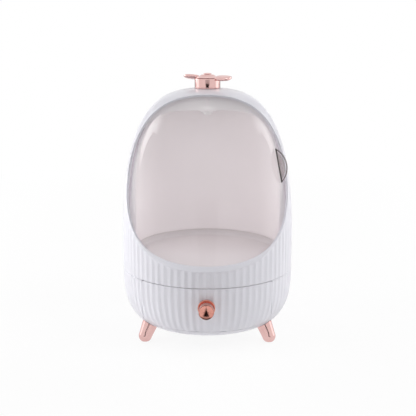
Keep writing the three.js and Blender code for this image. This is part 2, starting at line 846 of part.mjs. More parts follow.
function trayBlock(inset, frontInset, low, high) {
  const upright = new THREE.ExtrudeGeometry(trayPlan(inset), {
    depth: high - low,
    bevelEnabled: false,
    curveSegments: bowlSteps,
  });
  return toSolid(upright.translate(0, 0, low)).intersect(turned(bodyOutline(frontInset)));
}

function makeDrawerTray() {
  const floorLevel = trayUnderside + trayWall;
  const cavityTop = trayTop + overrun;
  const cavity = trayBlock(trayWall, trayFrontInset + trayWall, floorLevel, cavityTop);
  const knobRoot = radiusAt(trayInnerOutline, knobHeight) + trayWall / 2;
  const padRoot = radiusAt(trayInnerOutline, drawerScrewHeight) + trayWall / 2;
  let pads = levelRod(knobPadFace, knobRoot, 0, knobHeight, knobPadRadius, smallSegments);
  for (const azimuth of drawerScrewAzimuths) {
    const pad = levelRod(drawerPadFace, padRoot, azimuth, drawerScrewHeight, drawerPadRadius);
    pads = pads.add(pad);
  }
  let tray = trayBlock(0, trayFrontInset, trayUnderside, trayTop).subtract(cavity);
  tray = tray.add(pads.intersect(turned(bodyOutline(trayFrontInset))));
  tray = tray.subtract(levelRod(0, farSide, 0, knobHeight, knobScrewShank + screwPlay));
  for (const azimuth of drawerScrewAzimuths) {
    const hole = drawerBossRadius + seatGap;
    tray = tray.subtract(levelRod(0, farSide, azimuth, drawerScrewHeight, hole));
  }
  return tray;
}

// A screw that points outwards from a pad on the tray's front wall.
function levelScrew(padFace, tip, height, shankRadius, headRadius, headHeight) {
  const seat = padFace - seatGap;
  const screw = screwGeometry(shankRadius, tip - seat, headRadius, headHeight);
  return screw.rotateX(-quarterTurn).translate(0, -seat, height);
}

function makeKnobCollar() {
  const bore = knobScrewShank + screwPlay;
  const ring = ringGeometry(bore, collarRadius, -wall, collarThickness, hubSegments);
  ring.rotateX(quarterTurn).translate(0, -knobWall, knobHeight);
  return toSolid(ring).subtract(turned(bodyOutline(-seatGap), 2 * fluteCount));
}

function knobGeometry() {
  const back = collarThickness + seatGap;
  const shoulder = back + knobNeckLength;
  const face = shoulder + knobHeadLength;
  const bore = knobScrewShank + seatGap;
  const inner = knobRadius - knobRounding;
  const rounding = quarterAngles().map((angle) => [
    inner + knobRounding * Math.cos(angle),
    face + knobRounding * (Math.sin(angle) - 1),
  ]);
  const knob = turnedGeometry([
    [bore, back],
    [knobNeckRadius, back],
    [knobNeckRadius, shoulder],
    [knobRadius, shoulder + knobDish],
    ...rounding,
    [knobNeckRadius / 2, face - knobDish],
    [0, face - knobDish],
    [0, back + knobScrewBite],
    [bore, back + knobScrewBite],
    [bore, back],
  ], hubSegments);
  return toGeometry(toSolid(knob.rotateX(quarterTurn).translate(0, -knobWall, knobHeight)));
}

function addDrawer() {
  addMesh('drawer_front', toGeometry(makeDrawerFront()), materials.whitePlastic);
  addMesh('drawer_tray', toGeometry(makeDrawerTray()), materials.whitePlastic);
  drawerScrewAzimuths.forEach((azimuth, i) => {
    const tip = skinInnerAtScrew + drawerScrewBite - seatGap;
    const head = [drawerScrewShank, drawerScrewHead, drawerScrewHeadHeight];
    const screw = levelScrew(drawerPadFace, tip, drawerScrewHeight, ...head);
    addMesh(`drawer_screw_${i + 1}`, screw, materials.steel, azimuth);
  });
  addMesh('knob_collar', toGeometry(makeKnobCollar()), materials.copper);
  addMesh('drawer_knob', knobGeometry(), materials.copper);
  const knobTip = knobWall + collarThickness + knobScrewBite;
  const knobHead = [knobScrewShank, knobScrewHead, knobScrewHeadHeight];
  addMesh('knob_screw', levelScrew(knobPadFace, knobTip, knobHeight, ...knobHead), materials.steel);
}

function makeLeg(azimuth) {
  const outline = [];
  for (let i = 0; i <= ballSteps; i += 1) {
    const angle = (i / ballSteps) * quarterTurn;
    outline.push([footRadius * Math.sin(angle), -footRadius * Math.cos(angle)]);
  }
  outline.push([legTopRadius, legLength], [legTopRadius, legLength + legTopRadius]);
  outline.push([0, legLength + legTopRadius]);
  const peg = turnedGeometry(outline, smallSegments).rotateX(-legSplay * degree);
  let leg = toSolid(peg.translate(...footCentre).rotateZ(azimuth * degree));
  leg = leg.subtract(turned(bodyOutline(-seatGap), 2 * fluteCount));
  leg = leg.subtract(block(everywhere, everywhere, [lowerReach - footRadius, -legHeight]));
  leg = leg.subtract(block([-mouthHalfWidth, mouthHalfWidth], everywhere, [mouthSill, upperReach]));
  const bore = legRod(-legScrewBite - seatGap, legTopRadius, legScrewShank + seatGap, azimuth);
  return leg.subtract(bore);
}

function addLegs() {
  const shank = legScrewSeat + legScrewBite;
  const screw = screwGeometry(legScrewShank, shank, legScrewHead, legScrewHeadHeight);
  screw.rotateX(-legSplay * degree).translate(...alongLeg(legScrewSeat));
  legAzimuths.forEach((azimuth, i) => {
    addMesh(`leg_${i + 1}`, toGeometry(makeLeg(azimuth)), materials.roseGold);
    addMesh(`leg_screw_${i + 1}`, screw, materials.steel, azimuth);
  });
}

function addBodyScrews() {
  const seat = seamHeight - bodyScrewSeat - seatGap;
  const tip = floorBossBottom + floorBlindDepth - seatGap;
  const screw = screwGeometry(bodyScrewShank, tip - seat, bodyScrewHead, bodyScrewHeadHeight);
  screw.rotateX(Math.PI).translate(0, -postReach, seat);
  postAzimuths.forEach((azimuth, i) => {
    addMesh(`body_screw_${i + 1}`, screw, materials.steel, azimuth);
  });
}

addMesh('bowl', toGeometry(makeBowl()), materials.whitePlastic);
addMesh('shell', toGeometry(makeShell()), materials.whitePlastic);
addMesh('chamber_floor', toGeometry(makeChamberFloor()), materials.whitePlastic);
addMesh('rear_liner', toGeometry(makeRearLiner()), materials.linerPlastic);
addMesh('clear_cover', toGeometry(makeClearCover()), materials.clearPlastic);
addMesh('cover_pull', toGeometry(makeCoverPull()), materials.clearPlastic);
addPivot();
addTopHub();
addPropeller();
addDrawer();
addLegs();
addBodyScrews();

export default organizer;
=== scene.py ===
import math

import bpy
import numpy as np
from mathutils import Matrix, Vector


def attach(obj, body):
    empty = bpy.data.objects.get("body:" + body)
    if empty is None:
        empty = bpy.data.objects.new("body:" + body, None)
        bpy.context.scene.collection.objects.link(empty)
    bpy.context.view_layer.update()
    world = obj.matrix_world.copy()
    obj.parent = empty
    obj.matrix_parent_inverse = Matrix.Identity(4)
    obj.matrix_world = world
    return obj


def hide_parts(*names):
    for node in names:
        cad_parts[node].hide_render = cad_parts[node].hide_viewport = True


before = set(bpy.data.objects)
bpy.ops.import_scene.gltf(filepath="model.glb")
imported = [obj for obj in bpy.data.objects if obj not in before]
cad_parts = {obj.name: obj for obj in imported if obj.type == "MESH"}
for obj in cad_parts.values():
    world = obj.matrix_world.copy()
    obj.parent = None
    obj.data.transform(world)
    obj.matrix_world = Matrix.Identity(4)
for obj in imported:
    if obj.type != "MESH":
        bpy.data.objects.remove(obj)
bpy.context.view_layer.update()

# The object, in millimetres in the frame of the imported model: +Z up, front towards -Y, and
# azimuths measured from the front towards +X. Meshes are scaled to metres when they are made.
MM = 0.001

# The body's turned outline and the seam between its bowl and its shell.
BODY_RADIUS, BODY_HEIGHT, WALL = 120.0, 330.5, 3.0
SEAM, SEAT_GAP = 78.5, 0.45
BOWL_TOP, DOME_BASE, BASE_RADIUS = 75.0, 106.5, 69.2
BOWL_FULLNESS, DOME_FULLNESS, DOME_SHOULDER = 2.57, 2.54, 3.1
HUB_SEAT, BOLT_BORE = 19.8, 3.4

# The flutes: how many, how deep, and the heights where they start, are full, fade and end.
FLUTES, FLUTE_DEPTH = 76, 1.0
FLUTE_START, FLUTE_FULL_FROM, FLUTE_FULL_TO, FLUTE_END = 4.0, 16.0, 150.0, 235.0

# Points round a fluted and a plain wall, and the share of a step that a point may move to meet
# a cut.
COLUMNS, PLAIN_COLUMNS, SNAP = 6 * FLUTES, 256, 0.3

# The opening's side-view curve, two arcs that meet at its waist, and the lip round it: its width
# at the sides and what is added in front, between two distances in front of the axis.
OPENING_BACK, OPENING_WAIST = -28.0, 236.5
OPENING_UPPER, OPENING_LOWER = 240.0, 134.6
LIP_WIDTH, LIP_EXTRA, LIP_GROWS, LIP_FULL = 0.5, 6.3, 58.0, 116.0
LIP_DROP, LIP_SIDE_DROP, LIP_RAISE, LIP_SIDE_RAISE = 2.5, 0.3, 1.1, 0.1

# The cover, the brow, the pivot's bush, the liner and the chamber's floor. An inset is measured
# from the body's outline.
COVER_INSET, COVER_WALL, COVER_FOOT, COVER_EYE = 4.5, 2.0, 96.3, 8.3
BROW_INSET, BROW_FOOT = 8.0, 108.4
BUSH_RADIUS, BUSH_NECK = 13.0, 8.0
BUSH_FOOT, BUSH_SHOULDER, BUSH_TOP = 302.3, 323.7, 327.2
LINER_RADIUS, LINER_WALL, LINER_TOP, LINER_BASE = 102.0, 2.5, 299.5, 171.5
LINER_FULLNESS, LINER_SHOULDER, LINER_FOOT = 2.3, 4.5, 105.3
FLOOR_UNDER, FLOOR_TOP = 93.5, 96.0
FLOOR_RADIUS, FLOOR_RIM, FLOOR_RIM_INNER, FLOOR_RIM_TOP = 116.4, 112.3, 108.3, 99.0

KNOB_HEIGHT, FOOT_LEVEL = 52.5, -18.5

# The drawer's mouth, which stays open at the top, and the panel in it: half the width, the
# lowest and the highest point, and the corners' radius.
MOUTH_HALF, MOUTH_SILL = 89.2, 12.5
MOUTH = (MOUTH_HALF, MOUTH_SILL, 200.0, 3.0)
PANEL = (88.9, 12.9, 77.9, 2.8)


def superellipse_dome(radius, base, top, fullness, shoulder, lowest):
    """Radii and heights of a straight wall and a dome on it, up to the axis."""
    angle = np.linspace(0, math.pi / 2, 500)
    across = np.maximum(np.cos(angle), 0) ** (2 / shoulder)
    up = np.sin(angle) ** (2 / fullness)
    below = np.linspace(lowest, base, 60, endpoint=False)
    radii = np.concatenate([np.full(60, radius), radius * across])
    return radii, np.concatenate([below, base + (top - base) * up])


def bowl_outline():
    angle = np.linspace(0, math.pi / 2, 500)
    across = np.sin(angle) ** (2 / BOWL_FULLNESS)
    down = np.maximum(np.cos(angle), 0) ** (2 / BOWL_FULLNESS)
    radii = BASE_RADIUS + (BODY_RADIUS - BASE_RADIUS) * across
    return radii, BOWL_TOP * (1 - down)


class Outline:
    """A turned surface's outline, found by its length from its lower end."""

    def __init__(self, radii, heights):
        points = np.stack([radii, heights], 1)
        steps = np.linalg.norm(np.diff(points, axis=0), axis=1)
        kept = np.concatenate([[True], steps > 1e-6])
        points = points[kept]
        steps = np.linalg.norm(np.diff(points, axis=0), axis=1)
        self.length = np.concatenate([[0], np.cumsum(steps)])
        self.points = points
        tangent = np.gradient(points, self.length, axis=0)
        tangent /= np.linalg.norm(tangent, axis=1)[:, None]
        self.normal = np.stack([tangent[:, 1], -tangent[:, 0]], 1)

    def at(self, length, inset=0.0):
        """Radius, height and outward normal at a length along the outline."""
        found = [np.interp(length, self.length, c) for c in (*self.points.T, *self.normal.T)]
        r, z, nr, nz = found
        size = np.hypot(nr, nz)
        nr, nz = nr / size, nz / size
        return r - inset * nr, z - inset * nz, nr, nz

    def length_at_height(self, height):
        return float(np.interp(height, self.points[:, 1], self.length))

    def length_at_radius(self, radius):
        """The length at a radius, on the part of the outline that closes towards the axis."""
        start = int(np.argmax(self.points[:, 0]))
        closing = -self.points[start:, 0]
        return float(np.interp(-radius, closing, self.length[start:]))


def smooth_step(x, low, high):
    t = np.clip((np.asarray(x, float) - low) / (high - low), 0, 1)
    return t * t * (3 - 2 * t)


def body_outline():
    """The bowl's flat underside, its side, the straight wall and the dome with its flat seat."""
    base_radii = np.linspace(0, BASE_RADIUS, 40, endpoint=False)
    bowl_radii, bowl_heights = bowl_outline()
    radii, heights = superellipse_dome(
        BODY_RADIUS, DOME_BASE, BODY_HEIGHT, DOME_FULLNESS, DOME_SHOULDER, BOWL_TOP + 0.5
    )
    seat = 1 - smooth_step(radii, HUB_SEAT, HUB_SEAT + 5)
    heights = heights + (BODY_HEIGHT - heights) * np.where(heights > DOME_BASE + 1, seat, 0)
    return Outline(
        np.concatenate([base_radii, bowl_radii, radii]),
        np.concatenate([np.zeros(40), bowl_heights, heights]),
    )


BODY = body_outline()


def flute_strength(height):
    rising = smooth_step(height, FLUTE_START, FLUTE_FULL_FROM)
    falling = smooth_step(height, FLUTE_FULL_TO, FLUTE_END)
    return rising * (1 - falling)


def flute_depth(azimuth, height):
    """How deep a point lies below the ridges: rounded valleys between softened ridges."""
    soft = 0.14
    wave = np.sin(azimuth * FLUTES / 2) ** 2
    scallop = (np.sqrt(wave + soft**2) - soft) / (math.sqrt(1 + soft**2) - soft)
    return FLUTE_DEPTH * flute_strength(height) * scallop


def opening_distance(points):
    """Distance from the opening's side-view curve, positive on the shell's side."""
    y, z = points[:, 1], points[:, 2] - OPENING_WAIST
    upper = np.hypot(y - OPENING_BACK + OPENING_UPPER, z) - OPENING_UPPER
    lower = np.hypot(y - OPENING_BACK + OPENING_LOWER, z) - OPENING_LOWER
    return np.where(z > 0, upper, lower)


def smooth_max(a, b, blend):
    h = np.clip(0.5 + 0.5 * (a - b) / blend, 0, 1)
    return b + (a - b) * h + blend * h * (1 - h)


def mouth_distance(points, half_width, low, high, corner):
    """Distance inside a round-cornered rectangle seen from the front, positive inside."""
    middle = (low + high) / 2
    dx = np.abs(points[:, 0]) - (half_width - corner)
    dz = np.abs(points[:, 2] - middle) - ((high - low) / 2 - corner)
    outside = np.hypot(np.maximum(dx, 0), np.maximum(dz, 0)) + np.minimum(np.maximum(dx, dz), 0)
    return np.minimum(corner - outside, -points[:, 1])


def place(azimuth, radius, height):
    return np.stack([radius * np.sin(azimuth), -radius * np.cos(azimuth), height], -1)


def add_object(name, data):
    thing = bpy.data.objects.new(name, data)
    bpy.context.scene.collection.objects.link(thing)
    return thing


class Sheet:
    """A turned wall, trimmed where keep() is negative, with its edges closed by rims."""

    def __init__(self, outline, lengths, columns, wall, keep, flutes=None):
        self.outline, self.wall, self.flutes = outline, wall, flutes
        self.lengths = np.asarray(lengths, float)
        self.columns = columns
        self.keep = keep
        self._trim()

    def outer(self, azimuth, length):
        r, z, nr, nz = self.outline.at(length)
        if self.flutes is not None:
            r = r - self.flutes(azimuth, z, length)
        return place(azimuth, r, z), place(azimuth, nr, nz)

    def inner(self, azimuth, length):
        r, z, _, _ = self.outline.at(length, self.wall)
        return place(azimuth, np.maximum(r, 0), z)

    def _value(self, azimuth, length):
        r, z, _, _ = self.outline.at(length)
        return self.keep(place(azimuth, r, z))

    def _trim(self):
        rows, columns = len(self.lengths), self.columns
        step = 2 * math.pi / columns
        azimuth = np.tile(np.arange(columns) * step, rows)
        length = np.repeat(self.lengths, columns)
        value = self._value(azimuth, length)
        index = np.arange(rows * columns).reshape(rows, columns)
        right = np.roll(index, -1, axis=1)
        edges = np.concatenate([
            np.stack([index.ravel(), right.ravel()], 1),
            np.stack([index[:-1].ravel(), index[1:].ravel()], 1),
        ])
        crossing = edges[(value[edges[:, 0]] >= 0) != (value[edges[:, 1]] >= 0)]
        swap = value[crossing[:, 0]] < 0
        crossing[swap] = crossing[swap][:, ::-1]
        a0, a1 = (azimuth[crossing[:, k]] for k in (0, 1))
        a1 = a0 + (a1 - a0 + math.pi) % (2 * math.pi) - math.pi
        l0, l1 = (length[crossing[:, k]] for k in (0, 1))
        low, high = np.zeros(len(a0)), np.ones(len(a0))
        for _ in range(24):
            middle = (low + high) / 2
            inside = self._value(a0 + (a1 - a0) * middle, l0 + (l1 - l0) * middle) >= 0
            low, high = np.where(inside, middle, low), np.where(inside, high, middle)

        # A grid point close to a cut moves onto it. The other cuts get points of their own.
        cut_azimuth, cut_length = a0 + (a1 - a0) * low, l0 + (l1 - l0) * low
        azimuth, length, value = list(azimuth), list(length), list(value)
        snapped, cuts = set(), {}
        for k in np.argsort(np.minimum(low, 1 - low)):
            kept, gone = crossing[k].tolist()
            end = kept if low[k] < SNAP else gone if low[k] > 1 - SNAP else None
            if end is not None and end not in snapped:
                snapped.add(end)
                azimuth[end], length[end], value[end] = cut_azimuth[k], cut_length[k], 0.0
        for k, (kept, gone) in enumerate(crossing.tolist()):
            if kept in snapped or gone in snapped:
                continue
            cuts[(min(kept, gone), max(kept, gone))] = len(azimuth)
            azimuth.append(cut_azimuth[k])
            length.append(cut_length[k])
            value.append(0.0)
        faces = []
        squares = np.stack([index[:-1], right[:-1], right[1:], index[1:]], -1)
        for corners in squares.reshape(-1, 4).tolist():
            values = [value[c] for c in corners]
            if min(values) > 0:
                faces.append(corners)
                continue
            if max(values) <= 0:
                continue
            face = []
            for corner, following in zip(corners, corners[1:] + corners[:1]):
                if value[corner] >= 0:
                    face.append(corner)
                if value[corner] * value[following] < 0:
                    face.append(cuts[(min(corner, following), max(corner, following))])
            if len(set(face)) >= 3:
                faces.append(face)
        self.azimuth, self.length = np.array(azimuth), np.array(length)
        self.faces = faces
        self.loops = boundary_loops(faces)

    def mesh(self, rims, caps=()):
        """Vertices and faces. rims(points) picks each loop's rim, and caps are loops' heights."""
        outer, normal = self.outer(self.azimuth, self.length)
        inner = self.inner(self.azimuth, self.length)
        count = len(outer)
        vertices = np.concatenate([outer, inner])
        faces = list(self.faces) + [[v + count for v in reversed(f)] for f in self.faces]
        extra = []
        for loop in self.loops:
            p, q, n = outer[loop], inner[loop], normal[loop]
            if any(abs(p[:, 2].mean() - z) < 0.5 for z in caps):
                faces += [loop[::-1], [v + count for v in loop]]
                continue
            shape = rims(p)
            along = np.roll(p, -1, 0) - np.roll(p, 1, 0)
            along /= np.linalg.norm(along, axis=1)[:, None]
            away = np.cross(along, n)
            away /= np.linalg.norm(away, axis=1)[:, None]
            n_in = (p - q) / np.linalg.norm(p - q, axis=1)[:, None]
            if shape.pull:
                vertices[loop] = p - away * shape.pull
                vertices[np.array(loop) + count] = q - away * shape.pull
            ids = [loop]
            for ring in shape(p, q, n_in, away):
                first = len(vertices) + sum(len(e) for e in extra)
                ids.append(list(range(first, first + len(loop))))
                extra.append(ring)
            ids.append([v + count for v in loop])
            for near, far in zip(ids, ids[1:]):
                for k in range(len(loop)):
                    m = (k + 1) % len(loop)
                    faces.append([near[m], near[k], far[k], far[m]])
        return without_spare(np.concatenate([vertices, *extra]), faces)


def without_spare(vertices, faces):
    used = sorted({v for f in faces for v in f})
    renumber = {v: k for k, v in enumerate(used)}
    return vertices[used], [[renumber[v] for v in f] for f in faces]


def boundary_loops(faces):
    seen = {}
    for face in faces:
        for a, b in zip(face, face[1:] + face[:1]):
            seen[(a, b)] = True
    onward = {a: b for (a, b) in seen if (b, a) not in seen}
    loops = []
    while onward:
        start = next(iter(onward))
        loop, at = [start], onward.pop(start)
        while at != start:
            loop.append(at)
            at = onward.pop(at)
        loops.append(loop)
    return loops


class RoundRim:
    """A rim across the wall with its two corners rounded."""

    def __init__(self, radius, steps=3):
        self.pull, self.steps = radius, steps

    def __call__(self, p, q, n, away):
        rings, r = [], self.pull
        angles = [(k / self.steps) * math.pi / 2 for k in range(1, self.steps + 1)]
        for a in angles:
            rings.append(p - r * n - r * away + r * (n * math.cos(a) + away * math.sin(a)))
        for a in reversed(angles):
            rings.append(q + r * n - r * away + r * (-n * math.cos(a) + away * math.sin(a)))
        return rings


def lip_width(points):
    """The lip is broadest in front, at the bottom of the opening, and a plain edge elsewhere."""
    return LIP_WIDTH + LIP_EXTRA * smooth_step(-points[:, 1], LIP_GROWS, LIP_FULL)


class RolledLip:
    """A lip that stands proud of the skin, slopes in to its edge and is undercut behind it."""

    pull, steps = 0.0, 7

    def __call__(self, p, q, n, away):
        width = lip_width(p)[:, None]
        share = (width - LIP_WIDTH) / LIP_EXTRA
        drop = LIP_SIDE_DROP + (LIP_DROP - LIP_SIDE_DROP) * share
        lift = LIP_SIDE_RAISE + (LIP_RAISE - LIP_SIDE_RAISE) * share
        rings = [p + n * lift * 0.6, p + n * lift + away * lift * 0.25]
        for k in range(1, self.steps + 1):
            t = k / self.steps
            across = width * t + lift * 0.25 * (1 - t)
            slope = 0.6 * t + 0.4 * t * t
            rings.append(p + away * across + n * (lift - (lift + drop) * slope))
        rest = np.linalg.norm(p - q, axis=1)[:, None] - drop
        edge = p + away * width - n * drop
        rings.append(edge - n * rest * 0.55 - away * rest * 0.1 * share)
        rings.append(edge - n * rest * 0.9 - away * rest * 0.45 * share)
        rings.append(edge - n * rest - away * (0.25 + (rest - 0.25) * share))
        return rings


def rounded_outline(corners, steps=4):
    """A closed or open [radius, height, fillet] outline with its corners rounded."""
    points = []
    count = len(corners)
    for k, (x, y, fillet) in enumerate(corners):
        if not fillet:
            points.append((x, y))
            continue
        here = np.array([x, y], float)
        before = np.array(corners[k - 1][:2], float) - here
        after = np.array(corners[(k + 1) % count][:2], float) - here
        u, v = before / np.linalg.norm(before), after / np.linalg.norm(after)
        half = math.acos(max(-1, min(1, float(u @ v)))) / 2
        reach = fillet / math.tan(half)
        limit = min(np.linalg.norm(before), np.linalg.norm(after)) * 0.49
        if reach > limit:
            reach, fillet = limit, limit * math.tan(half)
        start, end = here + u * reach, here + v * reach
        centre = here + (u + v) / np.linalg.norm(u + v) * (fillet / math.sin(half))
        a0 = math.atan2(*(start - centre)[::-1])
        a1 = math.atan2(*(end - centre)[::-1])
        turn = (a1 - a0 + math.pi) % (2 * math.pi) - math.pi
        for s in range(steps + 1):
            a = a0 + turn * s / steps
            points.append(tuple(centre + fillet * np.array([math.cos(a), math.sin(a)])))
    return points


def lathe(outline, segments, closed):
    """Vertices and faces of an outline turned about +Z. An open outline ends on the axis."""
    vertices, faces = [], []
    rings = []
    for r, z in outline:
        if not closed and r < 1e-6:
            rings.append([len(vertices)])
            vertices.append((0, 0, z))
            continue
        first = len(vertices)
        for k in range(segments):
            a = 2 * math.pi * k / segments
            vertices.append((r * math.sin(a), -r * math.cos(a), z))
        rings.append(list(range(first, first + segments)))
    pairs = list(zip(rings, rings[1:]))
    if closed:
        pairs.append((rings[-1], rings[0]))
    for low, high in pairs:
        for k in range(segments):
            m = (k + 1) % segments
            face = [low[k % len(low)], low[m % len(low)], high[m % len(high)], high[k % len(high)]]
            face = [v for i, v in enumerate(face) if v != face[i - 1]]
            if len(face) >= 3:
                faces.append(face)
    return np.array(vertices, float), faces


def moved(vertices, matrix):
    m = np.array(matrix)
    return np.asarray(vertices) @ m[:3, :3].T + m[:3, 3]


def join(parts):
    """Several (vertices, faces) pairs as one."""
    vertices, faces, start = [], [], 0
    for v, f in parts:
        vertices.append(np.asarray(v, float))
        faces.extend([[i + start for i in face] for face in f])
        start += len(v)
    return np.concatenate(vertices), faces


def tube(rings, size, inverted=False):
    """The faces of a closed tube through rings of as many points each, its two ends first."""
    last = (rings - 1) * size
    faces = [list(range(size))[::-1], list(range(last, last + size))]
    for first in range(0, last, size):
        for k in range(size):
            m = (k + 1) % size
            faces.append([first + k, first + m, first + size + m, first + size + k])
    return [face[::-1] for face in faces] if inverted else faces


def facing(azimuth, height, radius):
    """From +Z of a turned part to a level axis that points outwards at an azimuth."""
    a = math.radians(azimuth)
    turn = Matrix.Rotation(a, 4, "Z") @ Matrix.Rotation(math.pi / 2, 4, "X")
    spot = (radius * math.sin(a), -radius * math.cos(a), height)
    return Matrix.Translation(spot) @ turn


class Nodes:
    """The nodes of a material or a world, made one after the other."""

    def __init__(self, owner, output="ShaderNodeOutputMaterial"):
        self.owner = owner
        owner.use_nodes = True
        self.tree = owner.node_tree
        self.tree.nodes.clear()
        self.output = self.add(output)

    def add(self, kind, **inputs):
        node = self.tree.nodes.new(kind)
        for name, value in inputs.items():
            key = name.replace("_", " ")
            if key in node.inputs:
                self.set(node.inputs[key], value)
            else:
                setattr(node, name, value)
        return node

    def set(self, socket, value):
        if isinstance(value, bpy.types.NodeSocket):
            self.tree.links.new(value, socket)
        else:
            socket.default_value = value

    def noise(self, scale, detail=3.0, roughness=0.5):
        """Noise in metres of the object's own frame."""
        return self.add(
            "ShaderNodeTexNoise",
            Vector=self.add("ShaderNodeTexCoord").outputs["Object"],
            Scale=scale,
            Detail=detail,
            Roughness=roughness,
        ).outputs["Fac"]

    def maths(self, operation, first, second):
        node = self.add("ShaderNodeMath", operation=operation)
        self.set(node.inputs[0], first)
        self.set(node.inputs[1], second)
        return node.outputs[0]

    def distance(self, spot):
        node = self.add("ShaderNodeVectorMath", operation="LENGTH")
        self.set(node.inputs[0], spot)
        return node.outputs["Value"]

    def seen(self):
        """One for what the camera, gloss and glass see, zero for light that falls on things."""
        path = self.add("ShaderNodeLightPath").outputs
        direct = self.maths("MAXIMUM", path["Is Camera Ray"], path["Is Glossy Ray"])
        return self.maths("MAXIMUM", direct, path["Is Transmission Ray"])

    def ramp(self, factor, low, high, dark, light):
        return self.add(
            "ShaderNodeMapRange",
            Value=factor,
            From_Min=low,
            From_Max=high,
            To_Min=dark,
            To_Max=light,
        ).outputs[0]

    def blend(self, factor, first, second):
        node = self.add("ShaderNodeMix", data_type="RGBA")
        self.set(node.inputs[0], factor)
        self.set(node.inputs[6], first)
        self.set(node.inputs[7], second)
        return node.outputs[2]

    def bump(self, height, strength, distance):
        node = self.add("ShaderNodeBump", Height=height, Strength=strength, Distance=distance)
        return node.outputs[0]

    def shader(self, **inputs):
        return self.add("ShaderNodeBsdfPrincipled", **inputs)

    def mixed(self, share, first, second):
        mix = self.add("ShaderNodeMixShader")
        self.set(mix.inputs[0], share)
        self.set(mix.inputs[1], first.outputs[0])
        self.set(mix.inputs[2], second.outputs[0])
        return mix

    def lit_through(self, shader, colour):
        """Lets the lamps' light pass, tinted, while everything else meets the shader."""
        window = self.add("ShaderNodeBsdfTransparent", Color=colour)
        lamp_ray = self.add("ShaderNodeLightPath").outputs["Is Shadow Ray"]
        return self.mixed(lamp_ray, shader, window)

    def finish(self, shader):
        self.set(self.output.inputs["Surface"], shader.outputs[0])
        return self.owner


def new_material(name):
    return Nodes(bpy.data.materials.new(name))


def rgb(r, g, b):
    """A colour given in sRGB bytes, as linear values."""
    def linear(c):
        c /= 255
        return c / 12.92 if c <= 0.04045 else ((c + 0.055) / 1.055) ** 2.4
    return (linear(r), linear(g), linear(b), 1.0)


def plastic(name, colour, shade, roughness, coat=0.0, veil=None):
    """Moulded plastic: faint flow marks in colour and gloss, and an orange-peel bump.

    A veil is the share of the lamps' light that one face of a thin milky wall lets through.
    """
    n = new_material(name)
    shader = n.shader(
        Base_Color=n.blend(n.ramp(n.noise(9.0, 4.0), 0.35, 0.65, 0, 1), shade, colour),
        Roughness=n.ramp(n.noise(70.0, 2.0), 0.3, 0.7, roughness * 0.9, roughness * 1.12),
        Normal=n.bump(n.noise(900.0, 2.0), 0.02, 0.0004),
        IOR=1.48,
        Coat_Weight=coat,
        Coat_Roughness=0.08,
    )
    return n.finish(n.lit_through(shader, veil) if veil else shader)


def metal(name, colour, shade, roughness):
    """Plated metal: soft colour change, uneven polish and very fine polishing marks."""
    n = new_material(name)
    return n.finish(n.shader(
        Base_Color=n.blend(n.ramp(n.noise(60.0), 0.3, 0.7, 0, 1), shade, colour),
        Metallic=1.0,
        Roughness=n.ramp(n.noise(160.0), 0.3, 0.7, roughness * 0.75, roughness * 1.3),
        Normal=n.bump(n.noise(1400.0, 2.0, 0.6), 0.015, 0.0002),
    ))


def clear(name, colour, roughness, index):
    """Clear plastic that lets the lamps through to what it covers."""
    n = new_material(name)
    shader = n.shader(
        Base_Color=colour,
        Roughness=n.ramp(n.noise(45.0), 0.3, 0.7, roughness * 0.7, roughness * 1.4),
        Normal=n.bump(n.noise(30.0, 1.0), 0.01, 0.0006),
        IOR=index,
        Transmission_Weight=1.0,
    )
    return n.finish(n.lit_through(shader, colour))


VEIL, LINER_VEIL = (0.66, 0.64, 0.645, 1), (0.83, 0.805, 0.805, 1)
WHITE = plastic("white_plastic", rgb(229, 228, 235), rgb(226, 225, 232), 0.32, 0.2, VEIL)
# A matt copy of the white plastic for the chamber's floor, its rim and the drawer's tray, made
# darker than the shell's white as painted shade for the inside.
WHITE_MATT_SHADED = plastic("white_inner_shaded", rgb(219, 215, 215), rgb(215, 211, 211), 0.45)
LINER = plastic("liner_plastic", rgb(242, 238, 238), rgb(239, 235, 235), 0.42, veil=LINER_VEIL)
BROW = plastic("brow_plastic", rgb(240, 238, 237), rgb(236, 234, 233), 0.45)
CLEAR = clear("clear_plastic", rgb(252, 251, 252), 0.04, 1.3)
FIN = clear("clear_fin", rgb(222, 217, 213), 0.08, 1.35)
# Painted shade: a dark tint on the pull's rim, standing in for the dark outline of its clear edge.
CLEAR_EDGE_SHADE = clear("clear_edge_painted_shade", rgb(84, 78, 76), 0.2, 1.35)
ROSE = metal("rose_gold", rgb(228, 190, 186), rgb(221, 180, 176), 0.12)
COPPER = metal("copper", rgb(222, 160, 146), rgb(213, 147, 133), 0.14)
STEEL = metal("steel", rgb(196, 198, 202), rgb(184, 187, 192), 0.28)


def add_piece(name, vertices, faces, material, body, slot, *nodes, smooth_angle=38):
    mesh = bpy.data.meshes.new(name)
    mesh.from_pydata((np.asarray(vertices, float) * MM).tolist(), [], faces)
    mesh.validate()
    mesh.shade_smooth()
    mesh.set_sharp_from_angle(angle=math.radians(smooth_angle))
    mesh.materials.append(material)
    piece = add_object(name, mesh)
    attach(piece, body)
    if nodes:
        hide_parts(*nodes)
    return piece


def spaced(low, high, step):
    return np.linspace(low, high, max(2, round((high - low) / step) + 1))


def shell_flutes(azimuth, height, length):
    """The flutes stop at the smooth strip under the lip, which is widest at the front."""
    points = place(azimuth, BODY.at(length)[0], height)
    strip = lip_width(points) + 0.3
    near = smooth_step(opening_distance(points), strip, strip + 1.6)
    return flute_depth(azimuth, height) * near


def body_flutes(azimuth, height, _length):
    return flute_depth(azimuth, height)


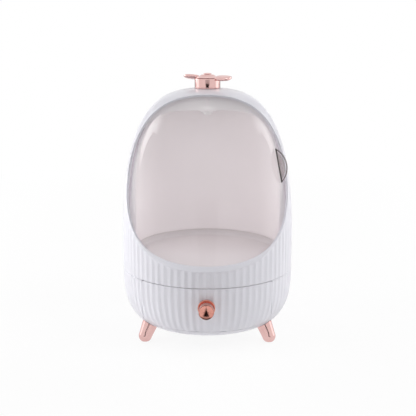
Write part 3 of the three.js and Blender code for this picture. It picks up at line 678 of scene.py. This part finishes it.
def add_shell():
    foot = BODY.length_at_height(SEAM + SEAT_GAP / 2)
    straight, fine_end = BODY.length_at_height(DOME_BASE), BODY.length_at_height(205)
    lengths = np.unique(np.concatenate([
        spaced(foot, straight, 2.0),
        spaced(straight, fine_end, 2.0),
        spaced(fine_end, BODY.length_at_radius(BOLT_BORE), 3.6),
    ]))
    sheet = Sheet(
        BODY, lengths, COLUMNS, WALL,
        keep=lambda p: opening_distance(p) - lip_width(p),
        flutes=shell_flutes,
    )

    def rims(points):
        """The opening's loop is far taller than those at the foot and the bore."""
        return RolledLip() if np.ptp(points[:, 2]) > 50 else RoundRim(0.35)

    vertices, faces = sheet.mesh(rims)
    add_piece("shell_skin", vertices, faces, WHITE, "base", "white_plastic", "shell")


def add_bowl():
    rim = BODY.length_at_height(SEAM - SEAT_GAP / 2)
    lengths = np.unique(np.concatenate([spaced(8, BASE_RADIUS, 7), spaced(BASE_RADIUS, rim, 2.6)]))
    sheet = Sheet(
        BODY, lengths, COLUMNS, WALL,
        keep=lambda p: -mouth_distance(p, *MOUTH),
        flutes=body_flutes,
    )
    vertices, faces = sheet.mesh(lambda p: RoundRim(0.35), caps=(0.0,))

    # The sill is levelled between the corners, so that the drawer's tray clears it.
    height = vertices[:, 2]
    sill = (mouth_distance(vertices, *MOUTH) > 0) & (height < MOUTH_SILL + 2.5)
    level = 0.25 + 0.75 * smooth_step(np.abs(vertices[:, 0]), 82, 87)
    vertices[:, 2] = np.where(sill, MOUTH_SILL + (height - MOUTH_SILL) * level, height)
    add_piece("bowl_skin", vertices, faces, WHITE, "base", "white_plastic", "bowl")


def add_drawer_front():
    sheet = Sheet(
        BODY, spaced(BODY.length_at_height(8), BODY.length_at_height(SEAM), 2.6), COLUMNS, WALL,
        keep=lambda p: mouth_distance(p, *PANEL),
        flutes=body_flutes,
    )
    vertices, faces = sheet.mesh(lambda p: RoundRim(0.4))
    add_piece("drawer_panel", vertices, faces, WHITE, "drawer", "white_plastic", "drawer_front")


def liner_outline(share, lowest):
    """The liner's outline, with a share of its wall's thickness outside its inner skin."""
    extra = LINER_WALL * share
    return Outline(*superellipse_dome(
        LINER_RADIUS + extra, LINER_BASE, LINER_TOP + extra, LINER_FULLNESS, LINER_SHOULDER, lowest
    ))


def inset_outline(inset, lowest, top_radius):
    """The body's outline moved inwards, from a height up to a radius near the axis."""
    low = float(np.interp(lowest, BODY.at(BODY.length, inset)[1], BODY.length))
    r, z, _, _ = BODY.at(np.linspace(low, BODY.length_at_radius(top_radius), 900), inset)
    return Outline(r, z)


def add_liner():
    outline = liner_outline(1.0, LINER_FOOT)
    top = outline.length_at_radius(BOLT_BORE)
    ear_radius = 14.0

    def keep(points):
        """The rear half, and the ear that holds the pivot."""
        ear = ear_radius - np.hypot(points[:, 0], points[:, 1])
        ear = np.where(points[:, 2] > LINER_BASE, ear, -50)
        return smooth_max(points[:, 1], ear, 4.0)

    sheet = Sheet(outline, spaced(0, top, 3.4), PLAIN_COLUMNS, LINER_WALL, keep)
    vertices, faces = sheet.mesh(lambda p: RoundRim(0.8, 4))
    add_piece("liner_dome", vertices, faces, LINER, "base", "liner_plastic", "rear_liner")


def add_brow():
    """The liner's brow: a crescent round its front edge that swells forward over the bush."""
    side, swell, swell_end = 0.02, BUSH_RADIUS + 0.9, 46.0
    inner, outer = liner_outline(0.6, BROW_FOOT), inset_outline(BROW_INSET, BROW_FOOT, 6)
    inner_end, outer_end = inner.length_at_radius(side), outer.length_at_radius(side)
    stations = 120
    parts = []
    for hand in (1, -1):
        vertices = []
        for i in range(stations + 1):
            share = i / stations
            a = np.array(inner.at(inner_end * share)[:2])
            b = np.array(outer.at(outer_end * share)[:2])
            across = (b - a) / np.linalg.norm(b - a)
            cheek = swell * (1 - smooth_step((a[0] + b[0]) / 2, 3.0, swell_end))
            ring = [(a, 3.0), (a, 0.5), (b - across * 0.7, 0.5), (b - across * 0.2, 0.7),
                    (b, 1.2), (b, 2.4), (b - across * 0.4, 3.0)]
            for point, y in ring:
                vertices.append((hand * point[0], y - cheek, point[1]))
        parts.append((vertices, tube(stations + 1, len(ring), inverted=hand < 0)))
    vertices, faces = join(parts)
    add_piece("liner_brow", vertices, faces, BROW, "base", "liner_plastic")
    bush, faces = lathe(rounded_outline([
        (BOLT_BORE, BUSH_FOOT, 0.2),
        (BUSH_RADIUS, BUSH_FOOT, 0.6),
        (BUSH_RADIUS, BUSH_SHOULDER, 0.8),
        (BUSH_NECK, BUSH_SHOULDER, 0.2),
        (BUSH_NECK, BUSH_TOP, 0.3),
        (BOLT_BORE, BUSH_TOP, 0.2),
    ]), 96, True)
    add_piece("bush_collar", bush, faces, LINER, "base", "white_plastic", "pivot_bush")


def add_cover():
    half, ear_radius = math.radians(80), 16.0

    def keep(points):
        """A sector, and the ear round the eye that turns on the pivot."""
        radius = np.hypot(points[:, 0], points[:, 1])
        azimuth = np.abs(np.arctan2(points[:, 0], -points[:, 1]))
        sector = radius * np.sin(np.clip(half - azimuth, -math.pi / 2, math.pi / 2))
        ear = np.where(points[:, 2] > 200, ear_radius - radius, -50)
        return smooth_max(sector, ear, 3.0)

    outline = inset_outline(COVER_INSET, COVER_FOOT, COVER_EYE)
    sheet = Sheet(outline, spaced(0, outline.length[-1], 3.4), PLAIN_COLUMNS, COVER_WALL, keep)
    vertices, faces = sheet.mesh(lambda p: RoundRim(0.5))
    add_piece("cover_dome", vertices, faces, CLEAR, "cover", "clear_plastic", "clear_cover")


def add_pull():
    """A part of a disc, upright on the cover's slope, with its rim painted a dark shade that stands
    in for the outline its clear edge shows.
    """
    azimuth, height, sample = 65.5, 230.0, 12.0
    r, z, _, _ = BODY.at(BODY.length, COVER_INSET)
    radius = float(np.interp(height, z, r))
    below, above = np.interp([height - sample, height + sample], z, r)
    slope = math.atan2(below - above, 2 * sample)
    disc, projection, half, sunk = 28.0, 12.8, 1.5, 0.25
    reach = disc - projection
    span = math.acos((reach - sunk) / disc)
    angles = [-span + 2 * span * k / 40 for k in range(41)]
    # Each level: its place across the thickness, then how far the arc and the chord stand in.
    edge = [(-half, 0.45, 0.2), (-half + 0.13, 0.13, 0.05), (-half + 0.45, 0.0, 0.0),
            (half - 0.45, 0.0, 0.0), (half - 0.13, 0.13, 0.05), (half, 0.45, 0.2)]
    # dark is the inset where the rim's painted shade begins, bright the inset where the clear ring
    # begins.
    dark, bright = (1.0, 1.5), (2.7, 1.5)
    levels = [(-half, *bright), (-half, *dark), *edge, (half, *dark), (half, *bright)]
    vertices = []
    for offset, inset, chord in levels:
        size = disc - inset
        for a in angles:
            out = max(size * math.cos(a) - reach, sunk + chord)
            vertices.append((out, size * math.sin(a), offset))
    count = len(angles)
    tilt = Matrix.Rotation(slope, 4, "Y")
    upright = Matrix(((1, 0, 0, 0), (0, 0, -1, 0), (0, 1, 0, 0), (0, 0, 0, 1)))
    spin = Matrix.Rotation(math.radians(azimuth - 90), 4, "Z")
    m = spin @ Matrix.Translation((radius, 0, height)) @ tilt.inverted() @ upright
    piece = add_piece(
        "pull_fin", moved(vertices, m), tube(len(levels), count), FIN, "cover", "clear_plastic",
        "cover_pull", smooth_angle=50,
    )
    piece.data.materials.append(CLEAR_EDGE_SHADE)
    piece.data.materials.append(CLEAR)
    # The bands from the dark inset round the edge carry the painted shade; the ring inside them is
    # clear.
    last = len(levels) - 2
    for polygon in piece.data.polygons[2:]:
        band = (polygon.index - 2) // count
        polygon.material_index = 2 if band in (0, last) else 1


def add_floor():
    vertices, faces = lathe(rounded_outline([
        (0, FLOOR_UNDER, 0),
        (FLOOR_RADIUS, FLOOR_UNDER, 0.5),
        (FLOOR_RADIUS, FLOOR_TOP, 0.5),
        (FLOOR_RIM, FLOOR_TOP, 0.8),
        (FLOOR_RIM, FLOOR_RIM_TOP, 0.9),
        (FLOOR_RIM_INNER, FLOOR_RIM_TOP, 0.9),
        (FLOOR_RIM_INNER, FLOOR_TOP, 1.2),
        (0, FLOOR_TOP, 0),
    ]), PLAIN_COLUMNS, False)
    add_piece("floor_plate", vertices, faces, WHITE_MATT_SHADED, "base", "white_plastic", "chamber_floor")

    # The raised rim of the rear half, with a fillet at the liner's foot.
    fillet, start, sunk, stations = 4.5, 97.0, FLOOR_TOP - 0.6, 160
    profile = [(start, sunk)]
    profile += [(start + fillet * math.sin(a), FLOOR_TOP + fillet * (1 - math.cos(a)))
                for a in np.linspace(0, math.pi / 2, 9)]
    profile += [(101.5, 105.0), (104.8, 105.0), (104.8, 107.4), (105.4, 108.0), (111.7, 108.0),
                (FLOOR_RIM, 107.4), (FLOOR_RIM, sunk)]
    vertices = []
    for k in range(stations + 1):
        a = math.pi / 2 + math.pi * k / stations
        vertices += [(r * math.sin(a), -r * math.cos(a), z) for r, z in profile]
    faces = tube(stations + 1, len(profile))
    add_piece("floor_rim", vertices, faces, WHITE_MATT_SHADED, "base", "white_plastic")


def add_hub():
    drum_radius, drum_foot, drum_top, counterbore, seat = 17.8, 330.8, 344.6, 6.1, 335.6
    vertices, faces = lathe(rounded_outline([
        (counterbore, drum_foot, 0.2),
        (drum_radius, drum_foot, 0.4),
        (drum_radius, drum_top, 1.0),
        (BOLT_BORE, drum_top, 0.3),
        (BOLT_BORE, seat, 0.0),
        (counterbore, seat, 0.0),
    ]), 96, True)
    add_piece("hub_drum", vertices, faces, ROSE, "base", "rose_metal", "top_hub")
    stem, stem_foot, cap_foot = 3.0, 338.7, 349.7
    vertices, faces = lathe(rounded_outline([
        (0, stem_foot, 0),
        (stem, stem_foot, 0.3),
        (stem, cap_foot, 0),
        (6.0, cap_foot, 0.3),
        (5.2, 351.0, 0.8),
        (2.4, 351.6, 1.5),
        (0, 351.7, 0),
    ]), 64, False)
    add_piece("cap_dome", vertices, faces, ROSE, "base", "rose_metal", "propeller_cap")


def add_propeller():
    """The cone and two paddles, fused and smoothed as one cast piece."""
    parts = [lathe(rounded_outline([
        (0, 344.9, 0),
        (16.5, 344.9, 0.4),
        (16.5, 346.0, 0.5),
        (12.0, 347.2, 3.0),
        (8.0, 349.4, 1.0),
        (0, 349.4, 0),
    ]), 64, False)]
    around, along = 24, 20
    half_length, half_width, half_thickness = 12.3, 9.0, 2.9
    vertices = []
    for i in range(1, along):
        t = math.pi * i / along
        width, thick = math.sin(t) ** 0.55, math.sin(t) ** 0.5
        for k in range(around):
            a = 2 * math.pi * k / around
            c, s = math.cos(a), math.sin(a)
            y = math.copysign(abs(c) ** 0.85, c) * half_width * width
            z = math.copysign(abs(s) ** 0.75, s) * half_thickness * thick
            vertices.append((-math.cos(t) * half_length, y, z))
    for side in (-1, 1):
        pose = (Matrix.Translation((side * 23.5, 0, 345.25))
                @ Matrix.Rotation(math.radians(side * 15 - 3), 4, "X"))
        parts.append((moved(vertices, pose), tube(along - 1, around)))
    vertices, faces = join(parts)
    vertices = moved(vertices, Matrix.Rotation(math.radians(-27), 4, "Z"))
    piece = add_piece(
        "propeller_paddles", vertices, faces, ROSE, "spinner", "rose_metal", "propeller",
        smooth_angle=180,
    )
    fuse(piece, 0.45, 6)


def fuse(piece, voxel, rounds):
    """Remeshes a piece's overlapping solids into one skin and smooths it."""
    remesh = piece.modifiers.new("fuse", "REMESH")
    remesh.mode = "VOXEL"
    remesh.voxel_size = voxel * MM
    remesh.use_smooth_shade = True
    smooth = piece.modifiers.new("smooth", "SMOOTH")
    smooth.factor = 0.5
    smooth.iterations = rounds
    bpy.context.view_layer.update()
    graph = bpy.context.evaluated_depsgraph_get()
    mesh = bpy.data.meshes.new_from_object(piece.evaluated_get(graph))
    piece.modifiers.clear()
    piece.data = mesh
    mesh.shade_smooth()


def add_knob():
    """The collar and the knob, as lengths out from the wall at the knob's height."""
    to_front = facing(0, KNOB_HEIGHT, 119.55)
    vertices, faces = lathe(rounded_outline([
        (2.4, 0.5, 0),
        (11.75, 0.5, 0.3),
        (11.75, 4.0, 1.6),
        (8.6, 3.0, 0.4),
        (2.4, 3.0, 0),
    ], 6), 96, True)
    add_piece("collar_ring", moved(vertices, to_front), faces, COPPER, "drawer", "copper_metal",
              "knob_collar")
    neck, radius, bore, bore_end, foot, rim = 6.6, 10.25, 2.3, 15.0, 3.4, 19.3
    bottom, dish = 17.4, 24.7
    hollow = [(r, bottom + dish - math.sqrt(dish**2 - r**2))
              for r in (9.5, 7.8, 6.2, 4.6, 3.0, 1.5)]
    vertices, faces = lathe([(0, bore_end), (bore, bore_end)] + rounded_outline([
        (bore, foot, 0),
        (neck, foot, 0.4),
        (neck, 8.6, 0.6),
        (radius, 9.2, 1.4),
        (radius, rim, 0.6),
        (*hollow[0], 0),
    ], 6) + hollow[1:] + [(0, bottom)], 96, False)
    add_piece("knob_head", moved(vertices, to_front), faces, COPPER, "drawer", "copper_metal",
              "drawer_knob")


def add_legs():
    """Tapered pegs with rounded feet, their tops fitted to the bowl and below the drawer."""
    splay = math.radians(25)
    up = np.array([0, math.sin(splay), math.cos(splay)])
    out = np.array([0, -math.cos(splay), math.sin(splay)])
    side = np.array([1.0, 0, 0])
    foot_radius, top_radius, reach, foot_height = 9.4, 11.2, 94.0, -11.3
    radii, heights, _, _ = BODY.at(BODY.length, -0.3)
    lower = heights < 60
    radii, heights = radii[lower], heights[lower]
    centre = np.interp(reach, radii, heights)
    foot = np.array([0, -reach - (centre - foot_height) * math.tan(splay), foot_height])
    segments = 80
    angles = 2 * math.pi * np.arange(segments) / segments
    ring = np.outer(np.cos(angles), side) + np.outer(np.sin(angles), out)
    profile = [(math.sin(a) * foot_radius, -math.cos(a) * foot_radius)
               for a in np.linspace(0.12, math.pi / 2, 12)]
    profile += [(foot_radius + 0.05, 1.5), (foot_radius + 0.25, 4.0), (foot_radius + 0.55, 7.0)]
    for i, azimuth in enumerate((59, 121, -121, -59)):
        turn = np.array(Matrix.Rotation(math.radians(azimuth), 3, "Z"))
        rows = [foot + up * h + r * ring for r, h in profile]
        top = []
        for direction in ring:
            ray = foot + top_radius * direction
            low, high = 5.0, 48.0
            for _ in range(30):
                middle = (low + high) / 2
                p = ray + up * middle
                limit = np.interp(math.hypot(p[0], p[1]), radii, heights)
                placed = turn @ p
                if abs(placed[0]) < MOUTH_HALF:
                    limit = min(limit, MOUTH_SILL - 0.1)
                low, high = (middle, high) if p[2] < limit else (low, middle)
            top.append(ray + up * low)
        last, top = rows[-1], np.array(top)
        rows += [last + (top - last) * share for share in (0.3, 0.6, 0.85, 0.97, 1.0)]
        vertices = np.concatenate(rows)
        vertices[:, 2] = np.maximum(vertices[:, 2], FOOT_LEVEL)
        faces = tube(len(rows), segments, inverted=True)
        add_piece(f"peg_{i + 1}", vertices @ turn.T, faces, ROSE, "base", "rose_metal",
                  f"leg_{i + 1}", smooth_angle=50)


def add_tray():
    """The drawer's box: straight sides, round rear corners, an open front against the panel."""
    def plan(inset, front):
        side, back, corner = 78.0 - inset, 62.0 - inset, 30.0 - inset
        points = []
        for middle, start in ((side - corner, 0), (corner - side, math.pi / 2)):
            for k in range(13):
                a = start + math.pi / 2 * k / 12
                points.append((middle + corner * math.cos(a), back - corner + corner * math.sin(a)))
        steps = 32
        for k in range(steps + 1):
            x = -side + 2 * side * k / steps
            points.append((x, -math.sqrt(front**2 - x**2)))
        return points

    def front_at(z, inset):
        r, h, _, _ = BODY.at(BODY.length, inset)
        low = h < 100
        return float(np.interp(z, h[low], r[low]))

    # Each level: its height and how far its plan stands in from the box's sides.
    sides = (20, 28, 38, 50, 62)
    outside = [(14.0, 0.6), *((z, 0.0) for z in sides), (73.4, 0.0), (74.0, 0.6)]
    inside = [(74.0, 1.5), (73.4, 2.0), *((z, 2.0) for z in sides[::-1]), (17.0, 2.0), (16.0, 3.4)]
    rings = [(plan(inset, front_at(z, 3.3)), z) for z, inset in outside]
    rings += [(plan(inset, front_at(z, 5.3)), z) for z, inset in inside]
    vertices = [(x, y, z) for ring, z in rings for x, y in ring]
    faces = tube(len(rings), len(rings[0][0]))
    add_piece("tray_box", vertices, faces, WHITE_MATT_SHADED, "drawer", "white_plastic", "drawer_tray")


add_shell()
add_bowl()
add_drawer_front()
add_liner()
add_brow()
add_cover()
add_pull()
add_floor()
add_hub()
add_propeller()
add_knob()
add_legs()
add_tray()

for name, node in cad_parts.items():
    if node.hide_render:
        continue
    node.data.materials.clear()
    node.data.materials.append(BROW if name in ("pivot_bolt", "pivot_washer") else STEEL)


def stage_material(name, colour, glow):
    """White to the eye, to gloss and through glass, with the object's shadow kept."""
    n = new_material(name)
    spot = n.add("ShaderNodeNewGeometry").outputs["Position"]
    share = n.maths("MULTIPLY", n.seen(), n.ramp(n.distance(spot), 0.3, 1.3, glow, 1.0))
    lit = n.add("ShaderNodeBsdfDiffuse", Color=colour)
    plain = n.add("ShaderNodeEmission", Strength=1.0)
    return n.finish(n.mixed(share, lit, plain))


def add_card(name, outline, spot, turn, material):
    mesh = bpy.data.meshes.new(name)
    mesh.from_pydata([(x, y, 0) for x, y in outline], [], [list(range(len(outline)))])
    mesh.materials.append(material)
    card = add_object(name, mesh)
    card.location = spot
    card.rotation_euler = turn
    return card


def reflected_card(name, outline, spot, turn, centre, edge):
    """A card that only reflections show, with its tone going from its middle to its rim."""
    n = new_material(name)
    away = n.distance(n.add("ShaderNodeTexCoord").outputs["Object"])
    reach = max(math.hypot(x, y) for x, y in outline)
    tone = n.blend(n.ramp(away, reach * 0.35, reach * 0.9, 0, 1), centre, edge)
    card = add_card(name, outline, spot, turn, n.finish(n.add("ShaderNodeEmission", Color=tone)))
    for flag in ("camera", "diffuse", "transmission", "volume_scatter", "shadow"):
        setattr(card, f"visible_{flag}", False)


def add_lamp(name, spot, target, size, power):
    light = bpy.data.lights.new(name, "AREA")
    light.shape = "RECTANGLE"
    light.size, light.size_y = size
    light.energy = power
    lamp = add_object(name, light)
    lamp.location = spot
    lamp.rotation_mode = "QUATERNION"
    lamp.rotation_quaternion = (Vector(target) - Vector(spot)).to_track_quat("-Z", "Y")
    lamp.visible_glossy = False
    lamp.visible_transmission = False


def rectangle(half_width, half_height):
    w, h = half_width, half_height
    return [(-w, -h), (w, -h), (w, h), (-w, h)]


def grey(v):
    return (v, v, v, 1)


card = add_card("studio_floor", rectangle(200, 200), (0, 0, FOOT_LEVEL * MM), (0, 0, 0),
                stage_material("studio_white", rgb(250, 250, 250), 0.9))

# Beside the bright cards stand dark ones below the camera, whose shapes the metal shows: a long
# drop on the ground, a stand, and strips low before the legs. The leg_shade_cover cards keep the
# strips out of the knob's reflections.
UPRIGHT = math.pi / 2
DARK = (0.012, 0.005, 0.004, 1)
reflected_card(
    "room_front", rectangle(0.9, 1.2),
    (0, -2.4, 0.3), (UPRIGHT, 0, 0), grey(0.6), grey(0.95),
)
reflected_card(
    "camera_stand",
    [(-0.34, -0.208), (0.34, -0.208), (0.35, 0.0), (0.31, 0.045), (0.2, 0.06),
     (-0.2, 0.06), (-0.31, 0.045), (-0.35, 0.0)],
    (0, -1.38, 0.19), (UPRIGHT, 0, 0), DARK, DARK,
)
reflected_card(
    "camera_shade",
    [(0, 0.485), (-0.018, 0.387), (-0.066, 0.22), (-0.15, -0.09), (-0.34, -0.715),
     (0.34, -0.715), (0.15, -0.09), (0.066, 0.22), (0.018, 0.387)],
    (0, -0.685, -0.018), (0, 0, 0), DARK, DARK,
)
for side in (-1, 1):
    reflected_card(
        f"leg_shade_{side + 2}", rectangle(0.11, 0.012),
        (side * 0.15, -0.36, -0.006), (UPRIGHT, 0, 0), DARK, DARK,
    )
    reflected_card(
        f"leg_shade_cover_{side + 2}", rectangle(0.12, 0.05),
        (side * 0.155, -0.315, 0.013), (0, 0, 0), grey(1), grey(1),
    )
    reflected_card(
        f"side_light_{side + 2}", rectangle(0.45, 0.5),
        (side * 1.3, 0.2, 0.3), (UPRIGHT, 0, side * 1.42), grey(1.7), grey(0.95),
    )
    reflected_card(
        f"high_light_{side + 2}",
        [(0.42 * math.cos(k * math.pi / 12), 0.6 * math.sin(k * math.pi / 12)) for k in range(24)],
        (side * 1.33, 0.6, 0.7), (math.radians(74), 0, side * math.radians(114)),
        grey(4.6 - side), grey(1),
    )
    reflected_card(
        f"edge_flag_{side + 2}", rectangle(0.25, 1.0),
        (side * 0.9, 1.5, 0.5), (UPRIGHT, 0, side * -0.5), grey(0.1), grey(0.25),
    )
reflected_card(
    "ceiling_light", rectangle(0.2, 0.2),
    (0.0, 0.1, 1.7), (0, 0, 0), grey(3.5), grey(1),
)

world = Nodes(bpy.data.worlds.new("studio"), "ShaderNodeOutputWorld")
white = world.add("ShaderNodeBackground", Color=(1, 1, 1, 1), Strength=1.0)
soft = world.add("ShaderNodeBackground", Color=(0.95, 0.96, 1.0, 1), Strength=0.01)
bpy.context.scene.world = world.finish(world.mixed(world.seen(), soft, white))

# Each lamp: where it stands, what it faces, its width and height in metres, its watts.
LAMPS = {
    "left_side": ((-1.5, 0.3, 0.45), (0, 0, 0.17), (0.9, 1.2), 2.0),
    "left_soft": ((-1.5, -0.25, 0.45), (0, 0, 0.17), (0.9, 1.2), 13.6),
    "right_soft": ((1.5, -0.25, 0.45), (0, 0, 0.17), (0.9, 1.2), 5.2),
    "left_back": ((-1.2, 0.95, 0.6), (0, 0, 0.17), (0.9, 1.2), 11.0),
    "right_back": ((1.2, 0.95, 0.6), (0, 0, 0.17), (0.9, 1.2), 12.0),
    "front": ((0, -1.7, 0.5), (0, 0, 0.18), (0.9, 0.8), 3.5),
    "top_soft": ((0, -0.1, 1.7), (0, 0, 0.15), (1.0, 1.0), 2.8),
    "top_left": ((-1.0, -0.5, 1.3), (0, 0, 0.2), (0.9, 0.9), 3.1),
    "top_right": ((1.0, -0.5, 1.3), (0, 0, 0.2), (0.9, 0.9), 9.5),
}
for name, row in LAMPS.items():
    add_lamp(name, *row)

# The photograph's picture size and focal length in pixels, and where its camera stood.
PICTURE, FOCAL = 416, 938
EYE = (0.015, -1.300, 0.4525)
camera = bpy.data.cameras.new("camera")
camera.sensor_width = 36
camera.lens = FOCAL * 36 / PICTURE
camera.shift_x = 0.5 / PICTURE
eye = add_object("camera", camera)
eye.location = EYE
eye.rotation_euler = (math.radians(77.36), 0, math.atan2(EYE[0], -EYE[1]))

scene = bpy.context.scene
scene.camera = eye
scene.view_settings.view_transform = "Standard"
